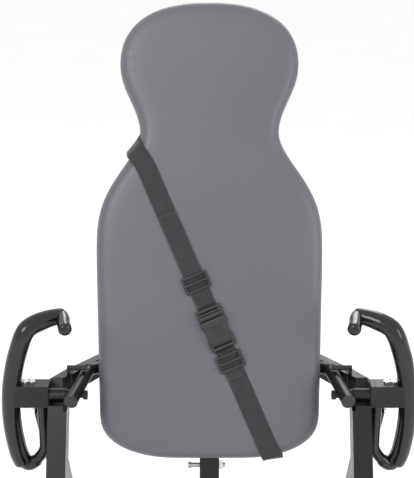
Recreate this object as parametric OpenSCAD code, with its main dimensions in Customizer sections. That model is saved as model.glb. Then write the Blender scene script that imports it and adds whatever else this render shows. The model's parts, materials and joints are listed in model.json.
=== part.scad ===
// Inversion table: folding A-frame, pivoting bed with pad, sliding boom and ankle holder.
// Millimetres, +Z up. The origin is on the floor under the bed's pivot; the front faces -Y.

/* [Frame] */
// Height of the bed's pivot above the floor
pivot_z = 790; // [770:5:830]
// Lean of the front and rear legs from vertical, degrees
leg_lean = 32; // [28:1:34]
// Distance from the middle plane to the middle of a leg
leg_x = 280; // [278:1:284]
// Width of the floor crossbars
base_w = 690; // [640:5:740]

/* [Bed] */
// Lean of the bed at rest, degrees
bed_lean = 22; // [21:0.5:23]
// Full width of the pad's body
pad_w = 435; // [428:1:438]
// Length of the pad
pad_l = 876; // [866:2:880]
// Thickness of the pad
pad_t = 50; // [44:1:52]
// Width of the square spine tube
spine_w = 38; // [36:1:40]

/* [Hidden] */
$fn = 48;
eps = 0.5;
tube_wall = 2;
leg_w = 35;
leg_d = 45;
sleeve_r = 13;
axle_r = 6;
axle_gap = 0.05;
ear_t = 3;
pad_bottom = -131;
pad_front = 45;
pad_back = pad_front + pad_t;
board_t = 12;
spine_y = pad_back + board_t + spine_w / 2;
spine_low = -215;
spine_top = 520;
boom_w = spine_w - 2 * tube_wall - 1;
boom_low = -715;
boom_top = 60;
pin_z = -155;
pin_r = 5;
boom_travel = 150;
hinge_y = 64;
hinge_z = pivot_z - 62;
base_h = 40;
leg_low = 42;
stay_drop = 330;
stay_t = 4;
handle_x = 371;
bracket_low = -19;
bracket_h = 44;
bracket_half = 15;
rear_x = leg_x + leg_w / 2 + ear_t + 0.5 + (leg_w - 1) / 2;
rear_base_w = base_w + 76;
wing_end = leg_x - leg_w / 2 - 1;
grip_r = 17.5;
core_r = 12.5;
handle_mid_z = -40;
handle_bow_r = 430;
bow_up = 22.5;
bow_down = 10;
bow_top = [handle_x - handle_bow_r * (1 - cos(bow_up)), 0, handle_mid_z + handle_bow_r * sin(bow_up)];
bow_end = [handle_x - handle_bow_r * (1 - cos(bow_down)), 0, handle_mid_z - handle_bow_r * sin(bow_down)];
bar_top = [272, 34, 148];
bar_low = [356, 0, -144];
bar_tip = [259, -24, 148];
loop_x = leg_x + 31.5;
loop_points = [bar_low, [338, 0, -150], [loop_x, 0, -112], [loop_x, 0, bracket_low]];
elbow_swell = 0.4;
foot_y = (pivot_z - leg_low) * tan(leg_lean);
rear_lean = atan((foot_y - hinge_y) / (hinge_z - leg_low));
clamp_z = -585;
toe_y = -60;
heel_y = 60;
roller_r = 45;
roller_in = 28;
roller_l = 150;
rail_y = -168;
rail_z = clamp_z - 52;
plate_z = -690;

// ---- outline of the pad: half its width at height s above the pivot ----
pad_top = pad_bottom + pad_l;
body_half = pad_w / 2;
head_half = 172.5;
neck_half = 131.5;
head_mid = 622;
neck_s = 490;
shoulder_s = 258;
corner_s = -60;
corner_flat = 70;
foot_half = body_half - 7;

function head_part(s) = head_half * pow(1 - pow((s - head_mid) / (pad_top - head_mid), 2.4), 1 / 2.4);
function neck_part(s) = neck_half + (head_half - neck_half) * (1 - cos(180 * (s - neck_s) / (head_mid - neck_s))) / 2;
function shoulder_part(s) = neck_half
  + (body_half - neck_half) * (1 - pow(1 - pow((neck_s - s) / (neck_s - shoulder_s), 1.6), 3.9));
function body_part(s) = body_half - 7 * (shoulder_s - s) / (shoulder_s - corner_s);
function corner_part(s) = corner_flat
  + (foot_half - corner_flat) * sqrt(max(0, 1 - pow((corner_s - s) / (corner_s - pad_bottom), 2)));
function half_width(s) = s > head_mid ? head_part(s) : s > neck_s ? neck_part(s)
  : s > shoulder_s ? shoulder_part(s) : s > corner_s ? body_part(s) : corner_part(s);

pad_levels = concat(
  [for (i = [0 : 8]) pad_bottom + (corner_s - pad_bottom) * (1 - cos(i * 90 / 8))],
  [shoulder_s], [for (s = [shoulder_s + 24 : 22 : head_mid]) s],
  [for (i = [0 : 10]) head_mid + (pad_top - head_mid) * sin(i * 9)]
);

// the pad's outline drawn in the bed's plane, from depth y0 to y1
module gourd(k, y0, y1) {
  points = [for (s = pad_levels) [max(half_width(s), 1), s]];
  mirrored = [for (i = [len(points) - 1 : -1 : 0]) [-points[i].x, points[i].y]];
  middle = (pad_bottom + pad_top) / 2;
  translate([0, y1, middle]) rotate([90, 0, 0]) scale(k)
    linear_extrude((y1 - y0) / k) translate([0, -middle]) polygon(concat(points, mirrored));
}

// ---- shared shapes and placing ----
module both_sides() {
  children();
  mirror([1, 0, 0]) children();
}

module side(s) {
  if (s < 0) mirror([1, 0, 0]) children();
  else children();
}

module at_bed() {
  translate([0, 0, pivot_z]) rotate([-bed_lean, 0, 0]) children();
}

module rod_x(r, x0, x1) {
  translate([x0, 0, 0]) rotate([0, 90, 0]) cylinder(r = r, h = x1 - x0);
}

module box_tube(w, d, z0, z1, wall) {
  difference() {
    translate([-w / 2, -d / 2, z0]) cube([w, d, z1 - z0]);
    translate([-w / 2 + wall, -d / 2 + wall, z0 - 1]) cube([w - 2 * wall, d - 2 * wall, z1 - z0 + 2]);
  }
}

module hex_x(r, x0, x1) {
  translate([x0, 0, 0]) rotate([0, 90, 0]) cylinder(r = r, h = x1 - x0, $fn = 6);
}

// a ball-jointed run of round bar through a list of points
module round_run(points, r) {
  for (i = [0 : len(points) - 2]) round_bar(points[i], points[i + 1], r);
  for (i = [1 : len(points) - 2]) translate(points[i]) sphere(r = r + elbow_swell);
}

module round_bar(p, q, r) {
  d = q - p;
  translate(p) rotate([0, acos(d.z / norm(d)), atan2(d.y, d.x)]) cylinder(r = r, h = norm(d));
}

// ---- front and rear frames ----
module front_leg(s) {
  side(s) difference() {
    translate([leg_x, 0, pivot_z]) rotate([-leg_lean, 0, 0]) box_tube(leg_w, leg_d, -1000, 60, tube_wall);
    translate([leg_x - 100, -1000, leg_low - 300]) cube([200, 2000, 300]);
    translate([leg_x - 100, -200, pivot_z - 6]) cube([200, 400, 200]);
    translate([leg_x - leg_w / 2 - 1, -200, pivot_z - 14]) cube([7, 400, 100]);
    translate([0, 0, pivot_z]) rod_x(sleeve_r, leg_x - 60, leg_x + 60);
  }
}

module rear_leg(s) {
  side(s) difference() {
    translate([rear_x, hinge_y, hinge_z]) rotate([rear_lean, 0, 0]) box_tube(leg_w - 1, leg_d, -1000, 14, tube_wall);
    translate([leg_x - 100, -1000, leg_low - 300]) cube([200, 2000, 300]);
    translate([0, hinge_y, hinge_z]) rod_x(pin_r + axle_gap, rear_x - 60, rear_x + 60);
  }
}

module floor_bar(s, w) {
  translate([-w / 2, s * foot_y - base_h / 2, 2]) difference() {
    cube([w, base_h, leg_low - 2]);
    translate([-1, tube_wall, tube_wall]) cube([w + 2, base_h - 2 * tube_wall, leg_low - 2 - 2 * tube_wall]);
  }
}

module floor_cap_pair(s, w) {
  both_sides() translate([w / 2 - 34, s * foot_y - base_h / 2 - 3, 0]) difference() {
    cube([40, base_h + 6, leg_low + 3]);
    translate([-1, 3, 2]) cube([35, base_h, leg_low - 2]);
  }
}

module ears(s) {
  x = leg_x + leg_w / 2;
  side(s) difference() {
    union() {
      translate([x, 0, 0]) rotate([90, 0, 90]) linear_extrude(ear_t) polygon([
        [-52, hinge_z - 16], [-26, hinge_z + 26], [hinge_y, hinge_z + 20], [hinge_y, hinge_z - 20]
      ]);
      translate([0, hinge_y, hinge_z]) rod_x(20, x, x + ear_t);
    }
    translate([0, hinge_y, hinge_z]) rod_x(pin_r + axle_gap, x - 1, x + 5);
  }
}

// hinge bolt with hexagonal ends, along X between x0 and x1
module cross_bolt(r, x0, x1, head) {
  rod_x(r, x0, x1);
  hex_x(head, x0 - 5, x0);
  hex_x(head, x1, x1 + 5);
}

module hinge_bolt_pair() {
  both_sides() translate([0, hinge_y, hinge_z])
    cross_bolt(pin_r, leg_x + leg_w / 2, rear_x + leg_w / 2 + 0.5, 8.5);
}

// ---- heads and handles ----
module handle_bolt_places() {
  for (x = [31, 43.5]) translate([leg_x + leg_w / 2 + x, 0, -40]) children();
}

module head(s) {
  inner = leg_x - leg_w / 2;
  outer = leg_x + leg_w / 2;
  side(s) translate([0, 0, pivot_z]) {
    difference() {
      rod_x(sleeve_r, inner + 4, outer + 1);
      rod_x(8, inner, outer - 5);
    }
    difference() {
      translate([outer, -bracket_half, bracket_low]) cube([66, 2 * bracket_half, bracket_h]);
      translate([outer + 3, -bracket_half + 3, bracket_low + 3])
        cube([70, 2 * bracket_half - 6, bracket_h - 6]);
      bow(core_r);
      handle_bolt_places() cylinder(r = 4.2, h = 100);
    }
    difference() {
      translate([0, 0, -24]) linear_extrude(40) polygon([
        [inner, 51], [inner, 86], [outer + 4, 32], [outer + 4, 14], [inner + 14, 14], [inner + 14, 35]
      ]);
      rod_x(sleeve_r, leg_x - 60, leg_x + 60);
      rotate([-leg_lean, 0, 0]) translate([inner - 1, -leg_d / 2, -100]) cube([leg_w + 1, leg_d, 200]);
    }
  }
}

// the curved part of a handle, an arc in the plane across the table
module bow(r) {
  translate([handle_x - handle_bow_r, 0, handle_mid_z]) rotate([90, 0, 0]) rotate([0, 0, -bow_down])
    rotate_extrude(angle = bow_up + bow_down, $fn = 180) translate([handle_bow_r, 0]) circle(r = r, $fn = 48);
}

module knuckle(place, r) {
  translate(place) sphere(r = r + elbow_swell);
}

module handle_run(r) {
  bow(r);
  round_bar(bow_top, bar_top, r);
  round_bar(bow_end, bar_low, r);
  knuckle(bow_top, r);
  knuckle(bow_end, r);
}

module handle_bar(s) {
  side(s) translate([0, 0, pivot_z]) {
    handle_run(core_r);
    round_bar(bar_top, bar_tip, core_r);
    knuckle(bar_top, core_r);
    knuckle(bar_low, core_r);
    round_run(loop_points, core_r - 2);
  }
}

module grip(s) {
  side(s) translate([0, 0, pivot_z]) difference() {
    handle_run(grip_r);
    translate([leg_x, -20, bracket_low - 1]) cube([90, 40, bracket_h + 2]);
  }
}

module bolts_up() {
  both_sides() translate([0, 0, pivot_z]) handle_bolt_places() {
    translate([0, 0, 13]) cylinder(r = 4, h = 58);
    translate([0, 0, 40 + bracket_low + bracket_h]) cylinder(r = 6, h = 5);
  }
}

module nuts_down() {
  both_sides() translate([0, 0, pivot_z]) handle_bolt_places() translate([0, 0, 33 + bracket_low]) difference() {
    cylinder(r = 6, h = 7, $fn = 6);
    translate([0, 0, -1]) cylinder(r = 4.2, h = 10);
  }
}

module stop_pegs() {
  both_sides() translate([0, 0, pivot_z]) {
    rod_x_at(232, leg_x - leg_w / 2 + 8, 57, 26, 5);
    translate([leg_x - leg_w / 2 + 2, 53, 16]) cube([6, 8, 6]);
  }
}

module rod_x_at(x0, x1, y, z, r) {
  translate([0, y, z]) rod_x(r, x0, x1);
}

// ---- folding stays ----
module stay_strip(y0, y1, x) {
  translate([x, 0, hinge_z - stay_drop]) difference() {
    union() {
      translate([0, y0, -11]) cube([stay_t, y1 - y0, 22]);
      for (y = [y0, y1]) translate([0, y, 0]) rod_x(11, 0, stay_t);
    }
    for (y = [y0, y1]) translate([0, y, 0]) rod_x(pin_r + axle_gap, -1, stay_t + 1);
  }
}

stay_front_y = -(pivot_z - hinge_z + stay_drop) * tan(leg_lean);
stay_rear_y = hinge_y + stay_drop * tan(rear_lean);
stay_mid_y = (stay_front_y + stay_rear_y) / 2;
stay_outer_x = leg_x - leg_w / 2 - 1 - stay_t;
stay_inner_x = stay_outer_x - 1 - stay_t;

module front_stay(s) {
  side(s) stay_strip(stay_front_y, stay_mid_y, stay_outer_x);
}

module rear_stay(s) {
  side(s) stay_strip(stay_mid_y, stay_rear_y, stay_inner_x);
}

module stay_pin(y, x0, x1) {
  translate([0, y, hinge_z - stay_drop]) {
    rod_x(pin_r, x0, x1);
    rod_x(9, x0 - 4, x0);
  }
}

module rivets(s) {
  side(s) {
    stay_pin(stay_mid_y, stay_inner_x - 0.5, stay_outer_x + stay_t);
  }
}

module front_stay_bolts() {
  both_sides() stay_pin(stay_front_y, stay_outer_x - 0.5, leg_x - leg_w / 2);
}

// these stop short of the rear stays: this is the linkage's open pivot
module rear_stay_bolts() {
  both_sides() translate([0, stay_rear_y, hinge_z - stay_drop]) rod_x(pin_r, stay_outer_x - 0.5, rear_x - leg_w / 2 + 0.5);
}

// ---- bed frame, tilted with the bed; the wings are level when the bed is at rest ----
module wings() {
  both_sides() translate([0, 0, pivot_z - 26]) difference() {
    linear_extrude(40) polygon([
      [wing_end, 53], [217, 111], [192, 126], [spine_w / 2, 126], [spine_w / 2, 150], [205, 150], [wing_end, 87]
    ]);
    translate([0, 0, 3]) linear_extrude(34) polygon([
      [wing_end - 3, 60], [219, 115], [193, 129], [0, 129], [0, 147], [203, 147], [wing_end - 3, 84]
    ]);
  }
}

swing_points = [[214, 103, 2], [233, 82, 8], [254, -29, 4]];

module swing_tube_pair() {
  both_sides() translate([0, 0, pivot_z]) {
    round_bar(swing_points[1], swing_points[0], core_r);
    round_bar(swing_points[1], swing_points[2], core_r);
    translate(swing_points[1]) rotate([0, 90, 0]) sphere(r = core_r + 0.8);
  }
}

module plug_pair() {
  d = swing_points[2] - swing_points[1];
  end = swing_points[2];
  both_sides() translate([0, 0, pivot_z]) round_bar(end, end + 3.5 * d / norm(d), core_r + 0.6);
}

module bush_pair() {
  both_sides() translate([0, 0, pivot_z]) difference() {
    rod_x(8, leg_x - leg_w / 2 + 4, leg_x + leg_w / 2 - 6);
    rod_x(axle_r + axle_gap, leg_x - leg_w / 2 - 1, leg_x + leg_w / 2);
  }
}

module axle_pair() {
  both_sides() translate([0, 0, pivot_z]) {
    rod_x(axle_r, 229, leg_x + leg_w / 2 - 8);
    rod_x(11, 259.5, leg_x - leg_w / 2 + 3.5);
  }
}

module axle_nut_pair() {
  both_sides() translate([0, 0, pivot_z]) difference() {
    hex_x(10, 227, 234.5);
    rod_x(axle_r, 220, 240);
  }
}

module spine_tube() {
  at_bed() difference() {
    translate([0, spine_y, 0]) box_tube(spine_w, spine_w, spine_low, spine_top, tube_wall);
    translate([0, spine_y, pin_z]) rod_x(pin_r + axle_gap, -40, 40);
  }
}

module boom_tube() {
  at_bed() difference() {
    translate([0, spine_y, 0]) box_tube(boom_w, boom_w, boom_low, boom_top, tube_wall);
    translate([-40, spine_y - pin_r - 0.5, pin_z - boom_travel - pin_r - 0.5])
      cube([80, 2 * pin_r + 1, boom_travel + 2 * pin_r + 1]);
  }
}

module backboard_sheet() {
  at_bed() gourd(0.91, pad_back, pad_back + board_t);
}

module pad_block() {
  at_bed() {
    gourd(1, pad_front, pad_front + 29);
    gourd(0.955, pad_front + 29, pad_back);
  }
}

module screw_heads() {
  at_bed() both_sides() for (s = [110, 260, 400]) translate([95, pad_back + board_t, s]) rotate([-90, 0, 0])
    cylinder(r1 = 8, r2 = 5, h = 4);
}

// ---- belt and its buckle, laid across the front of the pad ----
belt_w = 38;
belt_t = 2;
belt_top = [-122, 430];
belt_end = [117, -121];
belt_l = norm(belt_end - belt_top);
belt_turn = atan2(belt_end.x - belt_top.x, belt_top.y - belt_end.y);

module on_belt(along, lift) {
  at_bed() translate([belt_top.x, pad_front - lift, belt_top.y]) rotate([0, -belt_turn, 0])
    translate([0, 0, -along]) children();
}

module belt_strap() {
  on_belt(0, belt_t + 0.3) {
    translate([-belt_w / 2, 0, -belt_l]) cube([belt_w, belt_t, belt_l]);
    translate([-belt_w / 2, 0, -belt_l]) rotate([0, belt_turn, 0]) translate([0, 0, -4]) cube([belt_w, pad_t, 3]);
    rotate([0, -22, 0]) translate([-belt_w / 2, 0, -8]) cube([belt_w, belt_t, 52]);
  }
}

buckle_at = 332;
module buckle_shell() {
  on_belt(buckle_at, 14.5) difference() {
    translate([-25, 0, -45]) cube([50, 12, 52]);
    translate([-19, 3, -10]) cube([38, 6, 20]);
  }
}

module tongue() {
  on_belt(buckle_at, 14.5) {
    translate([-25, 1, 7.3]) cube([50, 10, 28]);
    translate([-18, 3.3, -9.5]) cube([36, 5.4, 17]);
  }
}

module adjusters() {
  for (along = [243, 406]) on_belt(along, 8) difference() {
    translate([-25, 0, -16]) cube([50, 5, 32]);
    for (z = [-11, 3]) translate([-20, -1, z]) cube([40, 7, 8]);
  }
}

// ---- height pin ----
module pull_pin() {
  at_bed() translate([0, spine_y, pin_z]) {
    rod_x(pin_r, -42, 31);
    rod_x(7, -42, -36);
  }
}

module pin_guide() {
  at_bed() translate([0, spine_y, pin_z]) difference() {
    hex_x(10, spine_w / 2, spine_w / 2 + 8);
    rod_x(pin_r + axle_gap, 0, 40);
  }
}

module collar() {
  at_bed() difference() {
    translate([0, spine_y, 0]) box_tube(spine_w + 7, spine_w + 7, spine_low - 9, spine_low + 10, 3.5);
  }
  at_bed() translate([0, spine_y, 0]) box_tube(spine_w, spine_w, spine_low - 9, spine_low, (spine_w - boom_w) / 2 - 0.4);
}

// ---- ankle holder on the boom ----
boom_front = spine_y - boom_w / 2;

module boom_end() {
  at_bed() translate([-boom_w / 2, boom_front, boom_low - 4]) cube([boom_w, boom_w, 4]);
}

module heel_bar() {
  at_bed() {
    translate([0, heel_y, clamp_z]) rod_x(axle_r, -roller_in - roller_l, roller_in + roller_l);
    translate([-20, heel_y - 12, clamp_z - 14]) cube([40, boom_front - heel_y + 12, 28]);
  }
}

module toe_bar() {
  at_bed() translate([0, toe_y, clamp_z]) rod_x(axle_r, -roller_in - roller_l, roller_in + roller_l);
}

module roller_pair(y) {
  at_bed() both_sides() translate([0, y, clamp_z]) difference() {
    rod_x(roller_r, roller_in, roller_in + roller_l);
    rod_x(axle_r, roller_in - 1, roller_in + roller_l + 1);
  }
}

module cap_pair(y) {
  at_bed() both_sides() translate([0, y, clamp_z]) rod_x(17, roller_in + roller_l, roller_in + roller_l + 5);
}

module rail_tube() {
  at_bed() translate([0, 0, rail_z]) rotate([90, 0, 0]) box_tube(30, 30, -boom_front, -rail_y, tube_wall);
}

module rail_end() {
  at_bed() translate([-16, rail_y - 6, rail_z - 16]) cube([32, 6, 32]);
}

module carriage() {
  at_bed() difference() {
    union() {
      translate([0, 0, rail_z]) rotate([90, 0, 0]) box_tube(38, 38, 32, 92, 3.6);
      translate([-15, toe_y - 8, rail_z + 19 - eps]) cube([30, 16, clamp_z - rail_z - 19 + 12]);
    }
    translate([0, toe_y, clamp_z]) rod_x(axle_r, -40, 40);
    translate([0, toe_y - 16, rail_z - 30]) cylinder(r = 4.3, h = 20);
  }
}

module knob() {
  at_bed() translate([0, toe_y - 16, rail_z]) {
    translate([0, 0, -36]) cylinder(r = 11, h = 16);
    translate([0, 0, -21]) cylinder(r = 4, h = 5.5);
  }
}

module plate() {
  at_bed() {
    translate([-150, -30, plate_z]) cube([300, boom_front + 30, 8]);
    translate([-150, -30, plate_z + 8]) cube([300, 6, 6]);
  }
}

module plate_bolts() {
  at_bed() both_sides() translate([60, 60, plate_z + 8]) cylinder(r = 8, h = 3);
}

color("#1c1c1f") front_leg(-1);  // front_left_leg
color("#1c1c1f") front_leg(1);  // front_right_leg
color("#1c1c1f") floor_bar(-1, base_w);  // front_crossbar
color("#1c1c1f") rear_leg(-1);  // rear_left_leg
color("#1c1c1f") rear_leg(1);  // rear_right_leg
color("#1c1c1f") floor_bar(1, rear_base_w);  // rear_crossbar
color("#1c1c1f") head(-1);  // left_head
color("#1c1c1f") head(1);  // right_head
color("#151517") handle_bar(-1);  // left_handle_bar
color("#151517") handle_bar(1);  // right_handle_bar
color("#101012") grip(-1);  // left_grip
color("#101012") grip(1);  // right_grip
color("silver") bolts_up();  // handle_bolts
color("silver") nuts_down();  // handle_nuts
color("#222222") stop_pegs();  // rest_stops
color("#202020") floor_cap_pair(-1, base_w);  // front_floor_caps
color("#202020") floor_cap_pair(1, rear_base_w);  // rear_floor_caps
color("#1c1c1f") ears(-1);  // left_hinge_ears
color("#1c1c1f") ears(1);  // right_hinge_ears
color("silver") hinge_bolt_pair();  // hinge_bolts
color("#1c1c1f") front_stay(-1);  // left_front_stay
color("#1c1c1f") front_stay(1);  // right_front_stay
color("#1c1c1f") rear_stay(-1);  // left_rear_stay
color("#1c1c1f") rear_stay(1);  // right_rear_stay
color("silver") rivets(-1);  // left_stay_rivet
color("silver") rivets(1);  // right_stay_rivet
color("silver") front_stay_bolts();  // stay_bolts
color("silver") rear_stay_bolts();  // stay_end_bolts
color("#1c1c1f") wings();  // crossbar_wings
color("#1c1c1f") swing_tube_pair();  // swing_tubes
color("#252527") plug_pair();  // tube_plugs
color("#e0ddd0") bush_pair();  // pivot_bushes
color("silver") axle_pair();  // axles
color("silver") axle_nut_pair();  // axle_nuts
color("#1c1c1f") spine_tube();  // spine
color("#252527") collar();  // spine_collar
color("#2a2a2a") backboard_sheet();  // backboard
color("#77747c") pad_block();  // pad
color("silver") screw_heads();  // pad_screws
color("#18181a") belt_strap();  // belt
color("#1c1c1e") buckle_shell();  // buckle_body
color("#1c1c1e") tongue();  // buckle_tongue
color("#1c1c1e") adjusters();  // strap_adjusters
color("silver") pull_pin();  // height_pin
color("silver") pin_guide();  // height_guide
color("#1c1c1f") boom_tube();  // boom
color("#252527") boom_end();  // boom_plug
color("silver") heel_bar();  // heel_axle
color("#202022") roller_pair(heel_y);  // heel_rollers
color("#252527") cap_pair(heel_y);  // heel_caps
color("#1c1c1f") rail_tube();  // clamp_rail
color("#252527") rail_end();  // rail_plug
color("#1c1c1f") carriage();  // clamp_carriage
color("silver") toe_bar();  // toe_axle
color("#202022") roller_pair(toe_y);  // toe_rollers
color("#252527") cap_pair(toe_y);  // toe_caps
color("#252527") knob();  // clamp_knob
color("#303033") plate();  // foot_plate
color("silver") plate_bolts();  // foot_bolts
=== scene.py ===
"""Inversion table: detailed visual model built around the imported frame."""
import json
import math

import bmesh
import bpy
from mathutils import Matrix, Vector


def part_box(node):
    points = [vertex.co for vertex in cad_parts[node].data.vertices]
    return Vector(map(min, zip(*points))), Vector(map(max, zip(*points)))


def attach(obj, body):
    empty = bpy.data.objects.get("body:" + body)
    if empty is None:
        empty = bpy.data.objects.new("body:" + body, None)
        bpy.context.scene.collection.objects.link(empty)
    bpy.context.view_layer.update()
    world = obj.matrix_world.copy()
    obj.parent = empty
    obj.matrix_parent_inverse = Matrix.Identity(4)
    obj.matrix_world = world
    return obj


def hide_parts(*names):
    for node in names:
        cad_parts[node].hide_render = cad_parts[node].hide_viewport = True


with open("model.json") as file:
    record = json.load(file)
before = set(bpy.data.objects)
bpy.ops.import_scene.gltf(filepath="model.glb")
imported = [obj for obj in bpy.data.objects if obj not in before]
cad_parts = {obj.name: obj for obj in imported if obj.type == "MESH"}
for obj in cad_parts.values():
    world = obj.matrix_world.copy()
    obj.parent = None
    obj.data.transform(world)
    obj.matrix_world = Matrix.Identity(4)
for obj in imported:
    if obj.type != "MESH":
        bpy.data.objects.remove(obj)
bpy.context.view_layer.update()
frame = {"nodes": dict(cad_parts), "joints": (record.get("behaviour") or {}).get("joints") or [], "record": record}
nodes = frame["nodes"]
joints = {j["name"]: j for j in frame["joints"]}

# ---- places taken from the frame, in metres ----
LEAN = math.radians(22)
PIVOT_Z = joints["bed_tilt"]["pos_m"][2]
UP = Vector((0, math.sin(LEAN), math.cos(LEAN)))
BACK = Vector((0, math.cos(LEAN), -math.sin(LEAN)))
RIGHT = Vector((1, 0, 0))
PIVOT = Vector((0, 0, PIVOT_Z))
MM = 0.001
PAD_FRONT = 45 * MM
PAD_LOW = -131 * MM
PAD_HIGH = 745 * MM
GRIP_R = 17.5 * MM
CORE_R = 12.5 * MM
STRAP_W = 38 * MM


def bed(x, depth, up):
    """A point in the bed's own plane: across, behind the pivot and up along the bed."""
    return PIVOT + RIGHT * x + BACK * depth + UP * up


# ---- camera ----
PAD_DISTANCE = 2.1
AIM_UP = 0.290
AIM_LEFT = -0.0047
camera_data = bpy.data.cameras.new("camera")
camera = bpy.data.objects.new("camera", camera_data)
bpy.context.scene.collection.objects.link(camera)
camera_data.sensor_width = 36
camera_data.lens = 83.2
camera.location = bed(AIM_LEFT, PAD_FRONT, AIM_UP) - BACK * PAD_DISTANCE
camera.rotation_euler = (math.pi / 2 - LEAN, 0, 0)
bpy.context.scene.camera = camera


# ---- materials ----
class Shader:
    """A node material with short helpers for textures and bumps."""

    def __init__(self, name, color, roughness, metallic=0.0, **sockets):
        self.material = bpy.data.materials.new(name)
        self.material.use_nodes = True
        self.tree = self.material.node_tree
        self.bsdf = self.tree.nodes["Principled BSDF"]
        self.set("Base Color", (*color, 1))
        self.set("Roughness", roughness)
        self.set("Metallic", metallic)
        for key, value in sockets.items():
            self.set(key.replace("_", " "), value)
        self.coords = self.node("ShaderNodeTexCoord").outputs["Object"]
        self.normal = None

    def set(self, socket, value):
        self.bsdf.inputs[socket].default_value = value

    def node(self, kind, **settings):
        made = self.tree.nodes.new(kind)
        for key, value in settings.items():
            setattr(made, key, value)
        return made

    def link(self, source, target):
        self.tree.links.new(source, target)

    def turned(self, rotation):
        mapping = self.node("ShaderNodeMapping")
        mapping.inputs["Rotation"].default_value = rotation
        self.link(self.coords, mapping.inputs["Vector"])
        return mapping.outputs["Vector"]

    def noise(self, scale, detail=3.0, roughness=0.55):
        made = self.node("ShaderNodeTexNoise")
        made.inputs["Scale"].default_value = scale
        made.inputs["Detail"].default_value = detail
        made.inputs["Roughness"].default_value = roughness
        self.link(self.coords, made.inputs["Vector"])
        return made.outputs["Fac"]

    def cells(self, scale, feature="F1"):
        made = self.node("ShaderNodeTexVoronoi", feature=feature)
        made.inputs["Scale"].default_value = scale
        self.link(self.coords, made.inputs["Vector"])
        return made.outputs["Distance"]

    def wave(self, scale, direction, rotation):
        made = self.node("ShaderNodeTexWave", bands_direction=direction)
        made.inputs["Scale"].default_value = scale
        self.link(self.turned(rotation), made.inputs["Vector"])
        return made.outputs["Fac"]

    def ramp(self, source, low, high, stops=(0.0, 1.0)):
        made = self.node("ShaderNodeValToRGB")
        for element, color, place in zip(made.color_ramp.elements, (low, high), stops):
            element.color = (*color, 1)
            element.position = place
        self.link(source, made.inputs["Fac"])
        return made.outputs["Color"]

    def tint(self, source, low, high, stops=(0.3, 0.7)):
        self.link(self.ramp(source, low, high, stops), self.bsdf.inputs["Base Color"])

    def gloss(self, source, low, high, stops=(0.3, 0.7)):
        grey = self.ramp(source, (low,) * 3, (high,) * 3, stops)
        self.link(grey, self.bsdf.inputs["Roughness"])

    def bump(self, height, distance, strength=1.0):
        made = self.node("ShaderNodeBump")
        made.inputs["Distance"].default_value = distance
        made.inputs["Strength"].default_value = strength
        self.link(height, made.inputs["Height"])
        if self.normal:
            self.link(self.normal, made.inputs["Normal"])
        self.normal = made.outputs["Normal"]
        self.link(self.normal, self.bsdf.inputs["Normal"])

    def soft_edges(self, radius):
        made = self.node("ShaderNodeBevel", samples=4)
        made.inputs["Radius"].default_value = radius
        self.normal = made.outputs["Normal"]
        self.link(self.normal, self.bsdf.inputs["Normal"])


def powder_coat():
    s = Shader("black_powder_coat", (0.006, 0.006, 0.007), 0.34,
               Specular_IOR_Level=0.32, Coat_Weight=0.08, Coat_Roughness=0.2)
    s.soft_edges(2.2 * MM)
    s.tint(s.noise(9), (0.004, 0.004, 0.005), (0.008, 0.008, 0.009))
    s.gloss(s.noise(40, 5), 0.28, 0.40)
    s.bump(s.noise(900, 2), 0.00012)
    return s.material


def handle_gloss():
    s = Shader("handle_gloss", (0.005, 0.005, 0.006), 0.18,
               Specular_IOR_Level=0.4, Coat_Weight=0.25, Coat_Roughness=0.1)
    s.tint(s.noise(12), (0.003, 0.003, 0.004), (0.007, 0.007, 0.008))
    s.gloss(s.noise(55, 4), 0.13, 0.24)
    s.bump(s.noise(420, 2), 0.00008)
    return s.material


def bright_steel(name, color, roughness):
    s = Shader(name, color, roughness, 1.0)
    s.soft_edges(0.8 * MM)
    s.tint(s.noise(60), tuple(0.82 * c for c in color), color)
    s.gloss(s.noise(300, 4), 0.7 * roughness, 1.5 * roughness)
    s.bump(s.noise(1500, 2), 0.00002)
    return s.material


def moulded(name, color, roughness, grain=700):
    s = Shader(name, color, roughness)
    s.soft_edges(1.4 * MM)
    s.tint(s.noise(15), tuple(0.8 * c for c in color), tuple(1.25 * c for c in color))
    s.gloss(s.noise(80, 4), roughness - 0.06, roughness + 0.08)
    s.bump(s.cells(grain), 0.00012, 0.5)
    return s.material


def pad_vinyl():
    s = Shader("pad_vinyl", (0.16, 0.152, 0.178), 0.42, Sheen_Weight=0.12, Sheen_Roughness=0.4)
    s.tint(s.noise(2.4, 2), (0.104, 0.099, 0.116), (0.122, 0.117, 0.135))
    s.gloss(s.noise(120, 5), 0.36, 0.48)
    s.bump(s.noise(6, 1), 0.0006, 0.4)
    s.bump(s.cells(520, "SMOOTH_F1"), 0.00022, 0.7)
    s.bump(s.noise(1500, 3), 0.00008, 0.6)
    return s.material


def webbing():
    s = Shader("webbing", (0.014, 0.014, 0.016), 0.7, Sheen_Weight=0.3)
    lay = (0, -BELT_TURN, 0)
    ribs = s.wave(190, "Z", lay)
    runs = s.wave(260, "X", lay)
    s.tint(ribs, (0.008, 0.008, 0.009), (0.024, 0.024, 0.027))
    s.gloss(s.noise(90), 0.6, 0.8)
    s.bump(ribs, 0.0004, 0.8)
    s.bump(runs, 0.0003, 0.6)
    return s.material


def foam():
    s = Shader("foam", (0.02, 0.02, 0.022), 0.85)
    s.tint(s.noise(160, 5), (0.013, 0.013, 0.014), (0.034, 0.034, 0.037))
    s.gloss(s.noise(60), 0.78, 0.92)
    s.bump(s.cells(420), 0.0007, 0.8)
    s.bump(s.noise(30), 0.0015, 0.5)
    return s.material


def board_cloth():
    s = Shader("board_cloth", (0.022, 0.022, 0.024), 0.8)
    s.tint(s.noise(300, 5), (0.014, 0.014, 0.015), (0.034, 0.034, 0.036))
    s.bump(s.noise(1200, 4), 0.0005, 0.8)
    return s.material


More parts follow.
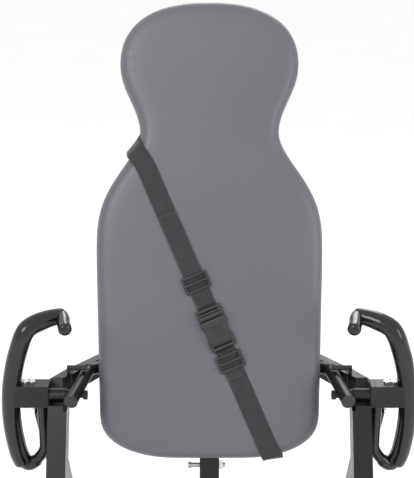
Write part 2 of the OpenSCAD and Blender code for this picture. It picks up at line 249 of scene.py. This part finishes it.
def floor_paint():
    s = Shader("floor_paint", (0.96, 0.96, 0.96), 0.8)
    s.tint(s.noise(3), (0.95, 0.95, 0.95), (0.97, 0.97, 0.97))
    return s.material


BELT_TOP = (-122 * MM, 430 * MM)
BELT_END = (117 * MM, -121 * MM)
BELT_TURN = math.atan2(BELT_END[0] - BELT_TOP[0], BELT_TOP[1] - BELT_END[1])

LOOKS = {
    "black_paint": powder_coat(),
    "grip_vinyl": handle_gloss(),
    "chrome": bright_steel("chrome", (0.78, 0.79, 0.80), 0.14),
    "steel": bright_steel("steel", (0.55, 0.56, 0.57), 0.3),
    "black_plastic": moulded("black_plastic", (0.018, 0.018, 0.019), 0.38),
    "stop_rubber": moulded("stop_rubber", (0.02, 0.02, 0.02), 0.7),
    "bush_nylon": moulded("bush_nylon", (0.6, 0.58, 0.52), 0.45),
    "pad_vinyl": pad_vinyl(),
    "webbing": webbing(),
    "board": board_cloth(),
    "foam": foam(),
}
SLOT_OF = {p["node"]: p["material_slot"] for p in frame["record"]["subparts"]}
for name, obj in nodes.items():
    for place in obj.material_slots:
        place.material = LOOKS[SLOT_OF[name]]


# ---- making pieces ----
def placed(name, mesh, slot, body, replaced):
    """Puts a finished mesh in the scene, smooth, on its body and in its material slot."""
    for polygon in mesh.polygons:
        polygon.use_smooth = True
    mesh.materials.append(LOOKS[slot])
    obj = bpy.data.objects.new(name, mesh)
    bpy.context.scene.collection.objects.link(obj)
    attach(obj, body)
    if replaced:
        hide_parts(*replaced)
    return obj


def piece(name, verts, faces, slot, body, replaced=()):
    mesh = bpy.data.meshes.new(name)
    mesh.from_pydata([tuple(v) for v in verts], [], faces)
    work = bmesh.new()
    work.from_mesh(mesh)
    bmesh.ops.recalc_face_normals(work, faces=work.faces)
    work.to_mesh(mesh)
    work.free()
    return placed(name, mesh, slot, body, replaced)


def rings_to_faces(count, size):
    """Faces between rings of points, with a face over each end."""
    faces = []
    for i in range(count - 1):
        for j in range(size):
            k = (j + 1) % size
            faces.append((i * size + j, i * size + k, (i + 1) * size + k, (i + 1) * size + j))
    faces.append(tuple(range(size)))
    faces.append(tuple((count - 1) * size + j for j in range(size)))
    return faces


def spline(points, steps=8):
    """A smooth run through the points, evenly stepped between each two."""
    ends = [2 * points[0] - points[1], *points, 2 * points[-1] - points[-2]]
    out = []
    for a, b, c, d in zip(ends, ends[1:], ends[2:], ends[3:]):
        for i in range(steps):
            t = i / steps
            out.append(0.5 * (2 * b + (c - a) * t + (2 * a - 5 * b + 4 * c - d) * t * t
                              + (3 * b - a - 3 * c + d) * t ** 3))
    return out + [points[-1]]


def swept(name, path, radius_at, slot, body, replaced=(), sides=28):
    """A round bar along a path, with domed ends, whose radius may change along it."""
    verts = []
    side = Vector((0, 1, 0.01)).normalized()
    count = len(path)
    for i, point in enumerate(path):
        ahead = (path[min(i + 1, count - 1)] - path[max(i - 1, 0)]).normalized()
        side = (side - ahead * side.dot(ahead)).normalized()
        other = ahead.cross(side)
        radius = radius_at(i / (count - 1))
        for j in range(sides):
            turn = 2 * math.pi * j / sides
            verts.append(point + (side * math.cos(turn) + other * math.sin(turn)) * radius)
    return piece(name, verts, rings_to_faces(count, sides), slot, body, replaced)


def domed(path, radius, steps=5):
    """The path and radii of a bar's two round ends, as extra points before and after."""
    first = (path[0] - path[1]).normalized()
    last = (path[-1] - path[-2]).normalized()
    angles = [math.pi / 2 * (i + 0.25) / steps for i in range(steps)]
    head = [path[0] + first * radius * 0.6 * math.sin(a) for a in reversed(angles)]
    tail = [path[-1] + last * radius * 0.6 * math.sin(a) for a in angles]
    radii = [radius * math.cos(a) for a in reversed(angles)]
    radii += [radius] * len(path) + [radius * math.cos(a) for a in angles]
    return head + path + tail, radii


# ---- the pad: outline as in the frame, half its width at each height ----
BODY_HALF = 217.5 * MM
HEAD_HALF = 172.5 * MM
NECK_HALF = 131.5 * MM
HEAD_MID = 622 * MM
NECK_UP = 490 * MM
SHOULDER_UP = 258 * MM
CORNER_UP = -60 * MM
CORNER_FLAT = 70 * MM
TAPER = 7 * MM


def half_width(up):
    if up > HEAD_MID:
        rise = (up - HEAD_MID) / (PAD_HIGH - HEAD_MID)
        return HEAD_HALF * max(0, 1 - rise ** 2.4) ** (1 / 2.4)
    if up > NECK_UP:
        t = (up - NECK_UP) / (HEAD_MID - NECK_UP)
        return NECK_HALF + (HEAD_HALF - NECK_HALF) * (1 - math.cos(math.pi * t)) / 2
    if up > SHOULDER_UP:
        t = (NECK_UP - up) / (NECK_UP - SHOULDER_UP)
        return NECK_HALF + (BODY_HALF - NECK_HALF) * (1 - (1 - t ** 1.6) ** 3.9)
    if up > CORNER_UP:
        return BODY_HALF - TAPER * (SHOULDER_UP - up) / (SHOULDER_UP - CORNER_UP)
    t = (CORNER_UP - up) / (CORNER_UP - PAD_LOW)
    foot = BODY_HALF - TAPER
    return CORNER_FLAT + (foot - CORNER_FLAT) * math.sqrt(max(0, 1 - t * t))


def eased(points):
    """One smoothing pass over a closed run of points."""
    count = len(points)
    return [(points[i - 1] + 2 * p + points[(i + 1) % count]) / 4 for i, p in enumerate(points)]


def outline(count=220):
    """The pad's outline as evenly spaced points, anticlockwise, smoothed a little."""
    quarter = math.pi / 2
    ups = [PAD_LOW + (CORNER_UP - PAD_LOW) * (1 - math.cos(quarter * i / 24)) for i in range(24)]
    ups += [CORNER_UP + (HEAD_MID - CORNER_UP) * i / 120 for i in range(120)]
    ups += [HEAD_MID + (PAD_HIGH - HEAD_MID) * math.sin(quarter * i / 30) for i in range(31)]
    right = [Vector((half_width(u), u)) for u in ups]
    loop = right + [Vector((-p.x, p.y)) for p in reversed(right)]
    loop = [p for p, q in zip(loop, loop[1:] + loop[:1]) if (p - q).length > 1e-6]
    lengths = [(loop[(i + 1) % len(loop)] - p).length for i, p in enumerate(loop)]
    step = sum(lengths) / count
    points, i, done = [], 0, 0.0
    for k in range(count):
        while done + lengths[i] < k * step:
            done += lengths[i]
            i += 1
        t = (k * step - done) / lengths[i]
        points.append(loop[i].lerp(loop[(i + 1) % len(loop)], t))
    for _ in range(4):
        points = eased(points)
    return points


def inset(points, distance):
    moved = []
    for i, p in enumerate(points):
        along = points[(i + 1) % len(points)] - points[i - 1]
        inward = Vector((-along.y, along.x)).normalized()
        moved.append(p + inward * distance)
    return moved


def smooth_inset(points, distance, passes):
    moved = inset(points, distance)
    for _ in range(passes):
        moved = eased(moved)
    return moved


# each ring: distance in from the edge, depth behind the pad's front plane, smoothing passes
PAD_RINGS = [(0.016, 0.0495, 0), (0.011, 0.0490, 0), (0.006, 0.0455, 0), (0.0025, 0.040, 0),
             (0.0008, 0.033, 0), (0.0, 0.027, 0), (0.0004, 0.0215, 0), (0.0018, 0.0160, 0),
             (0.0042, 0.0112, 0), (0.0078, 0.0071, 0), (0.0124, 0.0040, 0), (0.0180, 0.0020, 1),
             (0.0250, 0.0009, 2), (0.0340, 0.0003, 3), (0.0460, 0.0, 6)]


def make_pad():
    edge = outline()
    verts = []
    for distance, depth, passes in PAD_RINGS:
        for p in smooth_inset(edge, distance, passes):
            verts.append(bed(p.x, PAD_FRONT + depth, p.y))
    pad = piece("pad_cushion", verts, rings_to_faces(len(PAD_RINGS), len(edge)),
                "pad_vinyl", "bed", ["pad"])
    return pad


# ---- the belt: a ribbon along a path, with its width lying along a given direction ----
def ribbon(name, path, across, body, width=STRAP_W, thick=1.6 * MM, replaced=(), slot="webbing"):
    columns = 6
    verts = []
    for i, (point, wide) in enumerate(zip(path, across)):
        ahead = (path[min(i + 1, len(path) - 1)] - path[max(i - 1, 0)]).normalized()
        wide = (wide - ahead * wide.dot(ahead)).normalized()
        face = ahead.cross(wide).normalized()
        for lift in (thick / 2, -thick / 2):
            row = range(columns + 1) if lift > 0 else range(columns, -1, -1)
            for c in row:
                u = c / columns * 2 - 1
                edge = 0.55 if abs(u) > 0.99 else 1.0
                verts.append(point + wide * width / 2 * u + face * lift * edge)
    size = 2 * (columns + 1)
    return piece(name, verts, rings_to_faces(len(path), size), slot, body, replaced)


def belt_point(along, lift=1.2 * MM, aside=0.0):
    down = Vector((math.sin(BELT_TURN), -math.cos(BELT_TURN)))
    wide = Vector((math.cos(BELT_TURN), math.sin(BELT_TURN)))
    p = Vector(BELT_TOP) + down * along + wide * aside
    return bed(p.x, PAD_FRONT - lift, p.y)


BELT_DOWN = RIGHT * math.sin(BELT_TURN) - UP * math.cos(BELT_TURN)
BELT_WIDE = RIGHT * math.cos(BELT_TURN) + UP * math.sin(BELT_TURN)
BELT_LENGTH = (Vector(BELT_END) - Vector(BELT_TOP)).length
BUCKLE_AT = 332 * MM
ADJUSTERS_AT = (243 * MM, 406 * MM)


def make_belt():
    # upper run: round the shoulder notch from behind, across the pad and down to the buckle
    notch_back = bed(-136 * MM, PAD_FRONT + 44 * MM, 478 * MM)
    notch_side = bed(-146 * MM, PAD_FRONT + 24 * MM, 472 * MM)
    notch_front = bed(-143 * MM, PAD_FRONT + 3 * MM, 460 * MM)
    over = bed(-134 * MM, PAD_FRONT - 1.6 * MM, 447 * MM)
    path = spline([notch_back, notch_side, notch_front, over,
                   belt_point(4 * MM), belt_point(60 * MM)], 7)
    slant = (RIGHT * 0.62 + UP * 0.78).normalized()
    across = [slant.lerp(BELT_WIDE, min(1, max(0, (i - 14) / 14))) for i in range(len(path))]
    lower = [belt_point(60 * MM + (BUCKLE_AT - 75 * MM) * t / 16) for t in range(1, 17)]
    ribbon("belt_upper", path + lower, across + [BELT_WIDE] * 16, "bed", replaced=["belt"])
    # a doubled tail lies under the upper adjuster
    tail = [belt_point(100 * MM + 190 * MM * t / 12, 3.0 * MM, 0.6 * MM) for t in range(13)]
    ribbon("belt_upper_tail", tail, [BELT_WIDE] * 13, "bed", width=STRAP_W - 1 * MM)
    start = BUCKLE_AT + 38 * MM
    run = [belt_point(start + (BELT_LENGTH - start - 6 * MM) * t / 14) for t in range(15)]
    wrap = [bed(121 * MM, PAD_FRONT + 3 * MM, -127 * MM),
            bed(123 * MM, PAD_FRONT + 20 * MM, -130 * MM),
            bed(122 * MM, PAD_FRONT + 44 * MM, -126 * MM)]
    tail_path = run + spline([run[-1], *wrap], 6)[1:]
    level = RIGHT * math.cos(0.14) + UP * math.sin(0.14)
    turn = [BELT_WIDE.lerp(level, min(1, max(0, (i - 13) / 6))) for i in range(len(tail_path))]
    ribbon("belt_lower", tail_path, turn, "bed")
    lower_tail = [belt_point(start + 10 * MM + 60 * MM * t / 8, 3.0 * MM, -0.5 * MM)
                  for t in range(9)]
    ribbon("belt_lower_tail", lower_tail, [BELT_WIDE] * 9, "bed", width=STRAP_W - 1 * MM)


# ---- moulded plastic on the belt ----
def rounded_block(work, centre, size, turn, bevel):
    """Adds one block with rounded edges to a bmesh, turned to lie along the belt."""
    made = bmesh.ops.create_cube(work, size=1)
    verts = made["verts"]
    place = Matrix.Translation(centre) @ turn @ Matrix.Diagonal((*size, 1))
    bmesh.ops.transform(work, matrix=place, verts=verts)
    edges = list({e for v in verts for e in v.link_edges})
    bmesh.ops.bevel(work, geom=edges, offset=bevel, segments=3, profile=0.6, affect="EDGES")


BELT_FRAME = Matrix((BELT_WIDE, BACK, -BELT_DOWN)).transposed().to_4x4()


def moulding(name, blocks, body, replaced, slot="black_plastic"):
    """Blocks given as along, aside, lift, then width, thickness and length, in millimetres."""
    work = bmesh.new()
    for along, aside, lift, width, thick, length, bevel in blocks:
        centre = belt_point(along * MM, lift * MM, aside * MM)
        rounded_block(work, centre, (width * MM, thick * MM, length * MM), BELT_FRAME, bevel * MM)
    mesh = bpy.data.meshes.new(name)
    work.to_mesh(mesh)
    work.free()
    return placed(name, mesh, slot, body, replaced)


def make_buckle():
    at = BUCKLE_AT / MM
    shell = [(at + 12, 0, 8.2, 44, 9, 40, 2.4), (at - 6, 0, 9.0, 50, 10, 16, 2.6),
             (at + 34, -22, 7, 6, 7, 22, 1.8), (at + 34, 22, 7, 6, 7, 22, 1.8),
             (at + 43, 0, 7, 50, 7, 6, 2.0), (at + 33, 0, 8.4, 46, 4.5, 4.5, 1.4)]
    shell += [(at + 4 + 4 * i, 0, 12.9, 24, 1.2, 1.6, 0.5) for i in range(5)]
    moulding("buckle_shell", shell, "bed", ["buckle_body"])
    tongue = [(at - 20, 0, 7.8, 46, 8, 8, 2.0), (at - 34, 0, 7, 50, 7, 6, 2.0),
              (at - 27, -22, 7, 6, 7, 18, 1.8), (at - 27, 22, 7, 6, 7, 18, 1.8),
              (at - 27, 0, 8.4, 46, 4.5, 4.5, 1.4),
              (at - 9, -23.6, 8, 4, 6, 14, 1.6), (at - 9, 23.6, 8, 4, 6, 14, 1.6)]
    moulding("buckle_tongue_part", tongue, "bed", ["buckle_tongue"])


def make_adjusters():
    for number, at in enumerate(ADJUSTERS_AT):
        along = at / MM
        frame_bars = [(along - 14, 0, 5, 50, 4.5, 5, 1.6), (along + 14, 0, 5, 50, 4.5, 5, 1.6),
                      (along, 0, 6.2, 48, 4.5, 5, 1.6), (along, -23, 5, 5, 4.5, 30, 1.6),
                      (along, 23, 5, 5, 4.5, 30, 1.6)]
        moulding(f"adjuster_{number + 1}", frame_bars, "bed",
                 ["strap_adjusters"] if number == 0 else ())


# ---- handles ----
HANDLE_X = 371 * MM
BOW_R = 430 * MM
BOW_Z = -40 * MM
BOW_DEGREES = (22.5, 18, 14, 9, 4.5, 0, -5, -10)
# how far the lower loop's upright stands out, in the millimetres that at() takes
LOOP_X = 311.5
# the sleeve is this much slimmer at its upper end, over its first few points
SLEEVE_THINNING = 4 * MM
THINNING_POINTS = 16
# the bar turns into the thinner lower loop after this share of its points
LOOP_SHARE = 0.78


def handle_points(side):
    """A placing function in millimetres from the pivot, the upper run and the bow."""
    def at(x, y, z):
        return Vector((side * x * MM, y * MM, PIVOT_Z + z * MM))
    bow = []
    for degrees in BOW_DEGREES:
        a = math.radians(degrees)
        x = (HANDLE_X - BOW_R * (1 - math.cos(a))) / MM
        bow.append(at(x, 0, (BOW_Z + BOW_R * math.sin(a)) / MM))
    top = [at(274, 30, 149), at(300, 19, 146), at(326, 7, 138)]
    return at, top, bow


def make_handle(side, word):
    """The tube from its tip round the bow to the end of the lower loop, and its grip sleeve."""
    at, top, bow = handle_points(side)
    grip = spline(top + bow + [at(361, 0, -130), at(356, 0, -143)], 8)
    path, radii = domed(grip, GRIP_R, 5)
    slim = [GRIP_R - SLEEVE_THINNING * max(0.0, 1 - i / THINNING_POINTS)
            for i in range(len(path))]
    radii = [min(r, s) for r, s in zip(radii, slim)]
    count = len(path) - 1
    swept(f"{word}_grip_sleeve", path, lambda t: radii[round(t * count)], "grip_vinyl", "frame",
          [f"{word}_grip"])
    bar = spline([at(259, -24, 148), at(263, -6, 148), at(268, 20, 148.5), at(276, 30, 149),
                  at(300, 19, 146), at(326, 7, 138)] + bow
                 + [at(361, 0, -130), at(353, 0, -146), at(341, 0, -150), at(325, 0, -136),
                    at(313.5, 0, -117), at(LOOP_X, 0, -98), at(LOOP_X, 0, -60),
                    at(LOOP_X, 0, -20)], 6)
    bar, bar_radii = domed(bar, CORE_R, 4)
    ends = len(bar) - 1
    bar_radii = [r if i < ends * LOOP_SHARE else min(r, CORE_R - 2 * MM)
                 for i, r in enumerate(bar_radii)]
    swept(f"{word}_handle_tube", bar, lambda t: bar_radii[round(t * ends)], "grip_vinyl", "frame",
          [f"{word}_handle_bar"])


# ---- ankle rollers: foam sleeves with rounded, slightly sunken ends ----
def make_rollers(node, body):
    low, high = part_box(node)
    low, high = Vector(low), Vector(high)
    centre = (low + high) / 2
    radius = (high.z - low.z) / 2
    inner = 28 * MM
    profile = [(0.30, 0.004), (0.62, 0.001), (0.86, 0.0), (0.955, 0.004), (1.0, 0.014)]
    for side, word in ((-1, "left"), (1, "right")):
        length = high.x - inner
        stations = profile + [(1.0 - 0.012 * math.sin(math.pi * t / 6), length * t / 6)
                              for t in range(1, 6)]
        stations += [(r, length - d) for r, d in reversed(profile)]
        verts = []
        sides = 40
        for scale, along in stations:
            for j in range(sides):
                a = 2 * math.pi * j / sides
                offset = Vector((0, math.cos(a), math.sin(a))) * radius * scale
                verts.append(Vector((side * (inner + along), centre.y, centre.z)) + offset)
        piece(f"{node}_{word}", verts, rings_to_faces(len(stations), sides), "foam", body,
              [node] if side < 0 else ())


make_pad()
make_belt()
make_buckle()
make_adjusters()
make_handle(-1, "left")
make_handle(1, "right")
make_rollers("heel_rollers", "boom_slider")
make_rollers("toe_rollers", "ankle_clamp")


# ---- floor, light and air ----
def add_floor():
    mesh = bpy.data.meshes.new("floor")
    reach = 30
    corners = [(-reach, -reach, 0), (reach, -reach, 0), (reach, reach, 0), (-reach, reach, 0)]
    mesh.from_pydata(corners, [], [(0, 1, 2, 3)])
    mesh.materials.append(floor_paint())
    obj = bpy.data.objects.new("floor", mesh)
    bpy.context.scene.collection.objects.link(obj)


def add_light(name, place, aim, size, power):
    data = bpy.data.lights.new(name, "AREA")
    data.shape = "RECTANGLE"
    data.size, data.size_y = size
    data.energy = power
    lamp = bpy.data.objects.new(name, data)
    bpy.context.scene.collection.objects.link(lamp)
    lamp.location = place
    lamp.rotation_euler = (Vector(aim) - Vector(place)).to_track_quat("-Z", "Y").to_euler()


def add_world():
    world = bpy.data.worlds.new("studio")
    world.use_nodes = True
    sky = world.node_tree.nodes["Background"]
    sky.inputs["Color"].default_value = (1, 1, 1, 1)
    sky.inputs["Strength"].default_value = 1.0
    bpy.context.scene.world = world


add_floor()
add_world()
TARGET = (0, 0.1, 0.9)
add_light("key", (-1.6, -2.4, 3.0), TARGET, (1.4, 1.4), 42)
add_light("fill", (2.6, -1.8, 1.8), TARGET, (1.2, 2.0), 24)
add_light("rim", (0.4, 2.8, 2.6), TARGET, (2.0, 1.0), 30)
bpy.context.scene.view_settings.view_transform = "Standard"
